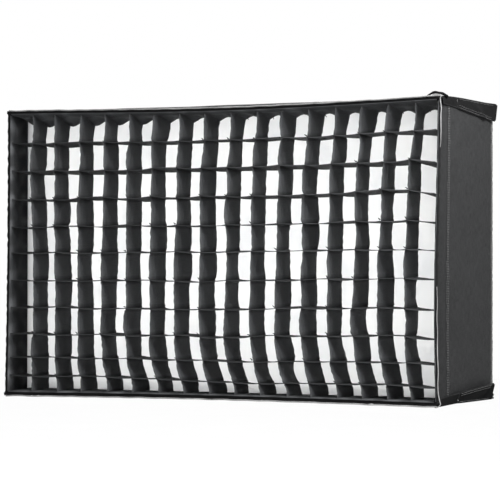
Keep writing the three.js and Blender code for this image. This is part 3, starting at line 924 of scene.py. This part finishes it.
def make_corner_fabric(corner):
    """Corner fabric on the rim, which runs in under the wing."""
    w = np.linspace(0, 1, 12)[:, None]
    u = np.linspace(0, 1, 40)[None, :]
    behind = (2 + 5 * w) * MM * (1 - u) + (DEPTH + WING_FRONT - 0.3 * MM) * u
    bulge = 0.5 * MM * np.sin(math.pi * w) * np.sin(math.pi * u)
    points = wing_points(corner, behind, w * wing_width(behind), HALF_WIDTH + 1.75 * MM + bulge)
    parts = slab_parts(settled(upright(points, *CORNERS[corner])), WING)
    attach(joined(f"{corner}_corner_fabric", [parts], LOOK["wing_fabric"]), "front_rim")


def make_wing(corner):
    """The wing, from its thin front end under the corner fabric to its cut rear end, and its stitching."""
    sign_x, sign_z = CORNERS[corner]
    start = DEPTH + WING_FRONT
    length = WING_REAR - WING_FRONT
    w = np.linspace(0, 1, 12)[:, None]
    slant = (sign_z < 0) * (8 + 6 * smooth(0.04, 0.3, w)) * MM  # the lower wings are cut shorter, at a slant
    behind = start + (length - slant) * np.linspace(0, 1, 90)[None, :]
    rear = start + length - slant
    chamfer = (2 if sign_z > 0 else 6) * MM * smooth(rear - WING_CUT, rear, behind) ** 0.9
    round_off = (3 if sign_z > 0 else 5) * MM * smooth(rear - 7 * MM, rear, behind) ** 2
    across = chamfer + w * (wing_width(behind) - chamfer - round_off)
    rise = smooth(start, start + 22 * MM, behind)
    points = wing_points(corner, behind, across, WING_X + 0.1 * MM + (WING - 0.1 * MM) * rise)
    thickness = upright(np.stack([0.35 * MM + (WING - 0.35 * MM) * rise], -1), sign_x, sign_z)
    parts = slab_parts(upright(points, sign_x, sign_z), thickness)
    wing = joined(f"{corner}_wing_flap", [parts], LOOK["wing_fabric"])
    attach(wing, f"{corner}_wing", f"{corner}_wing")
    length -= SLANT_SHARE * slant.max()
    run = behind[-1][2:-8]
    seams = [wing_width(run) - 1.4 * MM, wing_width(run) - 4.4 * MM, 2.5 * MM + 0 * run]
    paths = [wing_points(corner, run, seam, WING_X + WING + 0.05 * MM) for seam in seams]
    parts = [stitch_parts(path, (sign_x, 0, 0), pitch=3.2 * MM) for path in paths]
    attach(joined(f"{corner}_wing_stitching", parts, LOOK["thread"]), f"{corner}_wing")


def make_ear():
    """The loose fold of corner fabric that stands up where the top rim ends at the right."""
    steps = [(-25, 3, -1.4), (-19, 2.5, 2.6), (-12, 2, 5.2), (-5, 3, 4.4)]
    steps += [(0.5, 5, 2.8), (3.6, 12, 0.6), (3.0, 22, -1.2)]
    points = [(HALF_WIDTH + dx * MM, FRONT + dy * MM, HALF_HEIGHT + dz * MM) for dx, dy, dz in steps]
    path = settled(curve_through(points, 1.2 * MM))
    share = np.linspace(0, 1, len(path))
    thick = (0.7 + 1.3 * np.sin(math.pi * share) ** 0.6 + 0.25 * np.sin(23 * share)) * MM
    ear = joined("top_right_corner_fold", [tube_parts(cord_rings(path, thick, 12))], LOOK["wing_fabric"])
    attach(ear, "front_rim")


for corner in CORNERS:
    make_corner_fabric(corner)
    make_wing(corner)
make_ear()


# ---- holding tabs ----


def make_tab(name):
    """Webbing strap with rounded end corners, sewn on by a ring of stitches."""
    low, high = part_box(name)
    middle, half = middle_and_half(name, 0)
    top, end = (high.z, low.z) if high.z > 0 else (low.z, high.z)
    t = np.linspace(0, 1, 40)[:, None]
    s = np.linspace(-1, 1, 26)[None, :]
    corner = 8 * MM
    into_corner = np.maximum(corner - (1 - t) * abs(top - end), 0)
    width = half - corner + np.sqrt(np.maximum(corner**2 - into_corner**2, 0))
    x = middle + s * width
    z = top + (end - top) * t + 0 * s
    wave = 0.35 * MM * ripple(601 + int(1000 * middle) % 97, x, z, 40 * MM) * smooth(0, 0.3, t)
    points = np.stack([x, high.y + wave, z], -1)
    facing = points if high.z > 0 else points[:, ::-1]
    strap = joined(f"{name}_strap", [slab_parts(facing, 1.3 * MM)], LOOK["strap_webbing"])
    attach(strap, name, name)
    ring = [(-0.78, 0.16), (0.78, 0.16), (0.78, 0.42), (-0.78, 0.42), (-0.78, 0.16)]
    path = []
    for a, b in zip(ring, ring[1:]):
        for k in np.linspace(0, 1, 16, endpoint=False):
            across, down = np.array(a) * (1 - k) + np.array(b) * k
            path.append((middle + half * across, high.y + 0.15 * MM, top + (end - top) * down))
    stitches = joined(f"{name}_stitching", [stitch_parts(path, (0, 1, 0))], LOOK["thread"])
    attach(stitches, name)


for name in sorted(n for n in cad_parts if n.endswith("_holding_tab")):
    make_tab(name)


# ---- grid ----

STRIP_DEPTH = np.linspace(0, 1, 8)[None, :]  # from a strip's front edge to its back edge
STRIP_Y = GRID_FRONT + 0.4 * MM + (GRID_REAR - GRID_FRONT - 0.8 * MM) * STRIP_DEPTH


def row_height(w):
    """Height of the grid's row w, 0 at the top border and ROWS at the bottom one: the cloth sags."""
    u = np.asarray(w, float) / ROWS
    return STRIP_Z * (1 - 2 * u) - 0.114 * u**1.8 * (1 - u) ** 0.6


def crossing_height(q, w):
    """Height of row w at column q: the upper rows sag between the left border and the right one."""
    q, w = np.broadcast_arrays(np.asarray(q, float), np.asarray(w, float))
    sag = 6 * MM * np.sin(math.pi * np.clip(w / 5, 0, 1)) ** 0.8 * smooth(17, 11, q)
    lift = 3.6 * MM * smooth(3.5, 6, w) * smooth(11, 10, w) * smooth(8, 15, q)
    left = 6 * MM * bump_at(w, 10, 0.9) * smooth(11, 3, q) * smooth(11, 10.9, w)
    return row_height(w) - sag + lift + left


def column_place(q, w):
    """Place across of column q at row w. The strips lean over near the top and bottom borders."""
    q, w = np.broadcast_arrays(np.asarray(q, float), np.asarray(w, float))
    inner = smooth(0, 1, q) * smooth(0, 1, COLUMNS - q)
    top = (2.2 + 8.6 * (q / 16) ** 1.5) * MM * np.exp(-((w / 1.6) ** 1.5))
    bottom = 13 * MM * (1 - np.exp(-(np.maximum(q, 0.9) - 1.3) / 3.4)) * smooth(7.6, 10.8, w)
    hollow = -2.6 * MM * smooth(4, 15, q) * bump_at(w, 7, 2.2)
    drift = (-6.6 + 9.8 * (q - 1) / 15) * MM
    foot = 7.5 * MM * smooth(9.2, 10.5, w) * bump_at(q, 8, 5.5)
    left = (-4 + 7.6 * smooth(1.5, 6.5, w)) * MM * smooth(3.6, 1.6, q) + 2.1 * MM * smooth(2, 1, q)
    right = (-4.5 * smooth(12.5, 15.5, q) - 5 * smooth(15, 16, q) * smooth(8, 10, w)) * MM
    return STRIP_X * (2 * q / COLUMNS - 1) + inner * (top + bottom + hollow + drift + foot + left + right)


def cell_places(count):
    """Places along a strip, counted in cells, closest together near the crossings."""
    steps = np.array([0, 0.03, 0.07, 0.15, 0.27, 0.41, 0.56, 0.71, 0.84, 0.93, 0.97])
    return np.concatenate([*(i + steps for i in range(count)), [count]])


def painted_crossing_shade(places):
    """Painted shade at the crossings: -1 at the cloth's crossings with the other strips, 0 away from them, as
    edge marks.
    """
    away = np.abs(places - np.round(places))
    inside = (np.round(places) > 0) & (np.round(places) < places[-1])
    return -smooth(0.15, 0.0, away) * inside


def cellwise(places, at_crossings, between):
    """Pulls at the crossings, and a belly in each cell between them."""
    count = int(places[-1])
    cell = np.minimum(places.astype(int), count - 1)
    part = places - cell
    knots = np.interp(places, np.arange(count + 1), at_crossings)
    plateau = smooth(0, 0.14, part) * smooth(1, 0.86, part)
    return knots + between[cell] * (0.55 * np.sin(math.pi * part) + 0.45 * plateau)


def marked_cloth(points, marks):
    """Grid cloth whose edge distances give way to marks below zero, painted shade which the materials show
    dark.
    """
    vertices, faces, uv, edge = slab_parts(points, STRIP)
    marks = np.tile(np.broadcast_to(marks, points.shape[:2]).ravel(), 2)
    return vertices, faces, uv, np.where(marks < -0.02, marks, edge)


def upright_strip(i, rng, slack):
    """Strip i from the left, which runs from the top border to the bottom one."""
    rows = cell_places(ROWS)
    z = crossing_height(i, rows)
    crooked = (1 + 0.5 * (i > COLUMNS // 2)) * MM
    ahead = cellwise(rows, 0.9 * MM * rng.normal(0, 1, ROWS + 1), 0.9 * crooked * rng.standard_t(4, ROWS))
    behind = cellwise(rows, 1.0 * MM * rng.normal(0, 1, ROWS + 1), 1.1 * crooked * rng.standard_t(4, ROWS))
    belly = cellwise(rows, np.zeros(ROWS + 1), 1.6 * MM * slack[i])
    back = (1.4 - 3.6 * (i == COLUMNS - 1)) * MM - BACK_SHIFT * (1 - i / COLUMNS) ** 1.5
    x = column_place(i, rows)[:, None] + np.clip(ahead, -3 * MM, 3 * MM)[:, None] * (1 - STRIP_DEPTH)
    x = x + (np.clip(behind, -3.6 * MM, 3.6 * MM) + back)[:, None] * STRIP_DEPTH
    x = x + belly[:, None] * np.sin(math.pi * STRIP_DEPTH)
    x = x + 0.5 * MM * ripple(700 + i, z, 0 * z, 70 * MM)[:, None]
    x = x + 0.35 * MM * rng.normal(0, 1, x.shape) * (2 * STRIP_DEPTH - 1) ** 4
    x = x + 4 * MM * STRIP_DEPTH**1.5 * np.clip(1 - rows / 0.9, 0, 1)[:, None] ** 1.3
    points = settled(np.stack([x, STRIP_Y + 0 * x, z[:, None] + 0 * x], -1))
    points[..., 0] += STRIP / 2
    return marked_cloth(points, painted_crossing_shade(rows)[:, None])


def level_strip(j, rng, slack, dip):
    """Strip j from the top, which runs from the left border to the right one, its back edge hanging down."""
    columns = cell_places(COLUMNS)
    x = column_place(columns, j)
    pulls = 0.5 * MM * rng.normal(0, 1, COLUMNS + 1)
    z = crossing_height(columns, j) + cellwise(columns, pulls, -1.2 * MM * dip[:, j])
    z = z + 0.8 * MM * ripple(760 + j, x, 0 * x, 90 * MM)
    # In the last cell the upper strips run down to the right border.
    last = np.clip(columns - (COLUMNS - 1), 0, 1)
    share = 0.35 + 0.65 * math.exp(-((j - 2.6) ** 2) / 1.6)
    twist = cellwise(columns, 0.8 * MM * rng.normal(0, 1, COLUMNS + 1), 1.0 * MM * slack[:, j])
    hang = LEVEL_TWIST * smooth(-0.05, 0.6, z / STRIP_Z) - LOW_TWIST * smooth(0, -0.15, z)
    hang = hang + 8 * MM * share * last**1.3
    z = (z - 9 * MM * share * last**1.2)[:, None]
    z = z + twist[:, None] * (STRIP_DEPTH - 0.4) - hang[:, None] * (STRIP_DEPTH - 0.3)
    points = settled(np.stack([x[:, None] + 0 * z, STRIP_Y + 0 * z, z], -1)).transpose(1, 0, 2)
    points[..., 2] += STRIP / 2
    # Painted shade: the level strips are marked darker all over, less so in the upper rows towards the right,
    # where the light falls, and most in the first cell.
    painted_level_shade = -0.65 + 0.5 * smooth(6, 13, columns) * (j <= 5) - 0.3 * smooth(1.0, 0.8, columns)
    return marked_cloth(points, np.minimum(painted_crossing_shade(columns), painted_level_shade)[None, :])


def make_strips():
    """The grid's two sets of crossing strips."""
    rng = np.random.default_rng(7)
    slack = rng.uniform(-1, 1, (COLUMNS + 1, ROWS + 1))
    dip = rng.uniform(0.3, 1, (COLUMNS + 1, ROWS + 1))
    parts = [upright_strip(i, rng, slack) for i in range(1, COLUMNS)]
    uprights = joined("grid_upright_strips", parts, LOOK["grid_fabric"])
    attach(uprights, "grid", "grid_strips")
    parts = [level_strip(j, rng, slack, dip) for j in range(1, ROWS)]
    levels = joined("grid_level_strips", parts, LOOK["grid_fabric"])
    attach(levels, "grid", "grid_strips")


def border_side(side, tilt):
    """The grid border's cloth along a side, with its back edge pulled in by up to tilt, and its hook tape."""
    turn, reach, lip_out = (SIDES[side][fact] for fact in ("turn", "reach", "lip"))
    half, out, cells = LINER_X, LINER_Z - reach, COLUMNS
    if side not in LONG_SIDES:
        half, out, cells = LINER_Z, LINER_X - reach, ROWS
    s = np.linspace(-half, half, cells * 8 + 1)[None, :]
    cell = (s / (2 * half) + 0.5) * cells
    lip_end = 0.14
    depth = np.concatenate([np.linspace(0, lip_end, 6, endpoint=False), np.linspace(lip_end, 1, 10)])[:, None]
    seed = 820 + turn
    pulled = tilt * depth**1.2 * (0.775 + 0.225 * np.cos(2 * math.pi * cell))
    slack, pitch = (2.4 * MM, 26 * MM) if side == "left" else (1.0 * MM, 38 * MM)
    folds = slack * np.maximum(ripple(seed, s, depth * 50 * MM, pitch), -0.6)
    folds = folds * np.sin(0.5 * math.pi * (1 - np.abs(2 * depth - 1)))
    inward = np.maximum((pulled + folds) * smooth(0, 12 * MM, half - np.abs(s)), 0)
    lip = np.clip(1 - depth / lip_end, 0, 1)
    y = GRID_FRONT + (GRID_REAR - GRID_FRONT) * depth - 1.4 * MM * lip**2
    points = settled(place(side, s, y, out - inward + lip_out * lip**1.6))
    # Painted shade: dark at the crossings and in blotches, and over most of each side, most on the left; on
    # the top side dark along the front, under the rim, and light on its back half.
    blotches = (0.5 if side == "left" else 0.25) * ripple(seed + 3, s, depth * 60 * MM, 34 * MM)
    shade = 0.5 * smooth(0.3, 0.0, np.abs(cell - np.round(cell))) + blotches
    shade = shade + {"top": 0.95 * smooth(0.5, 0.15, depth) - 0.05, "left": 0.8}.get(side, 0.6)
    low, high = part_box("grid_hook_tape")
    tape_y = np.linspace(low.y, high.y, 8)[:, None]
    tape = slab_parts(settled(place(side, s, tape_y, out + TAPE + 0.3 * MM)), TAPE)
    return marked_cloth(points, -np.clip(shade, 0.03, 1)), tape


def make_border():
    """The grid's cloth border and the hook tape round it."""
    tilts = {"top": 18 * MM, "right": 0.4 * MM, "bottom": 0.8 * MM, "left": 0}
    cloths, tapes = zip(*(border_side(side, tilt) for side, tilt in tilts.items()))
    border = joined("grid_border_cloth", cloths, LOOK["border_fabric_painted_light"])
    attach(border, "grid", "grid_border")
    attach(joined("grid_hook_tape_bowed", tapes, LOOK["hook_tape"]), "grid", "grid_hook_tape")


def make_thread_ends():
    """Cut ends of sewing thread at some of the grid's crossings."""
    rng = np.random.default_rng(23)
    parts = []
    for i in range(1, COLUMNS):
        for j in range(ROWS):
            if rng.random() > (0.55 if j == 0 else 0.5):
                continue
            if j == 0:  # beside the top border, off the strip's back edge
                start = (column_place(i, 0.3) + 6 * MM, GRID_REAR - 2 * MM, row_height(0.24))
                lean = (rng.uniform(2, 4.5), -0.5, -rng.uniform(3, 6))
            else:  # just above a crossing, off the strip's front edge
                start = (column_place(i, j) + 0.2 * MM, GRID_FRONT + 1.5 * MM)
                start = (*start, crossing_height(i, j) + 2.2 * MM)
                lean = (-rng.uniform(2.0, 4.2), -0.3, rng.uniform(0.8, 4.0))
            start, lean = settled(np.array([start]))[0], np.array(lean) * MM
            curl = np.array([rng.uniform(-1, 1), 0, rng.uniform(-1, 1)]) * 0.7 * MM
            path = curve_through([start, start + 0.5 * lean + curl, start + lean], 0.8 * MM)
            thick = np.linspace(1.2, 0.4, len(path)) * MM
            parts.append(tube_parts(cord_rings(path, thick, 6)))
    attach(joined("grid_thread_ends", parts, LOOK["black_thread"]), "grid")


make_strips()
make_border()
make_thread_ends()


# ---- front diffuser ----


def make_diffuser():
    """White cloth that sags back a little between its stitched borders."""
    x = np.linspace(-LINER_X, LINER_X, 150)[None, :]
    z = np.linspace(-LINER_Z, LINER_Z, 96)[:, None]
    inside = smooth(0, 0.06, LINER_X - np.abs(x)) * smooth(0, 0.06, LINER_Z - np.abs(z))
    sag = (1.6 + 0.7 * ripple(901, x, z, 90 * MM) + 0.4 * ripple(902, x * 0.4, z, 40 * MM)) * MM
    y = CLOTH_FRONT + np.maximum(inside * sag, 0)
    points = np.stack([x + 0 * y, y, z + 0 * y], -1)
    cloth = joined("front_diffuser_cloth", [slab_parts(points, 0.7 * MM)], LOOK["diffuser_cloth"])
    attach(cloth, "front_diffuser", "diffuser_cloth")


make_diffuser()


# ---- CAD nodes that stay ----

KEPT = {
    "_wall_board": "stiffener_board",
    "_wing_loop_tape": "loop_tape",
    "_wing_hook_tape": "hook_tape",
    "diffuser_hook_tape": "hook_tape",
    "diffuser_border": "diffuser_hem",
}
for name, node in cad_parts.items():
    for ending, look in KEPT.items():
        if name.endswith(ending):
            node.data.materials.clear()
            node.data.materials.append(LOOK[look])
